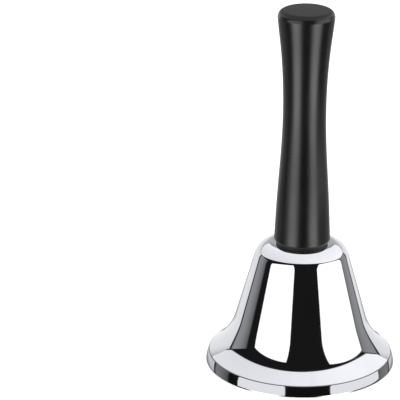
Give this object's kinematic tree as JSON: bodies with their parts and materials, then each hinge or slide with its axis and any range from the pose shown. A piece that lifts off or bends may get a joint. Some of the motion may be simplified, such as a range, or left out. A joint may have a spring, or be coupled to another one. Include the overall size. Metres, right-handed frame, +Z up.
{
  "type": "hand bell",
  "caption": "Small chrome-plated hand bell with a flared rim, a slim waisted black grip on its crown and a steel clapper hung on a wire link inside.",
  "frame": {"origin": "centre of the bell's mouth, on the plane that the rim rests on", "axes": "+Z up along the axis of the bell and its handle; the clapper's wide swing is in the YZ plane"},
  "size_m": [0.066, 0.066, 0.1282],
  "materials": {
    "chrome_plate": "mirror-bright plating inside and out",
    "black_lacquer": "turned wood under smooth satin black lacquer",
    "black_fibre": "plain black fibre ring",
    "brass": "turned brass",
    "zinc_steel": "bright zinc-plated hardware",
    "clapper_steel": "nickel-plated steel, the striking face worn satin"
  },
  "bodies": {
    "bell": {"bell_shell": "chrome_plate", "handle": "black_lacquer", "handle_washer": "black_fibre", "handle_insert": "brass", "eye_bolt": "zinc_steel", "crown_washer": "zinc_steel", "lock_washer": "zinc_steel", "eye_nut": "zinc_steel"},
    "link": {"clapper_link": "clapper_steel"},
    "clapper": {"clapper_rod": "clapper_steel", "clapper_bob": "clapper_steel"}
  },
  "joints": [
    {"name": "link_swing", "type": "hinge", "parent": "bell", "child": "link", "pos_m": [0, 0, 0.0312], "axis": [1, 0, 0], "range_deg": [-40, 40]},
    {"name": "clapper_swing", "type": "hinge", "parent": "link", "child": "clapper", "pos_m": [0, 0, 0.025], "axis": [0, 1, 0], "range_deg": [-12, 12]}
  ]
}
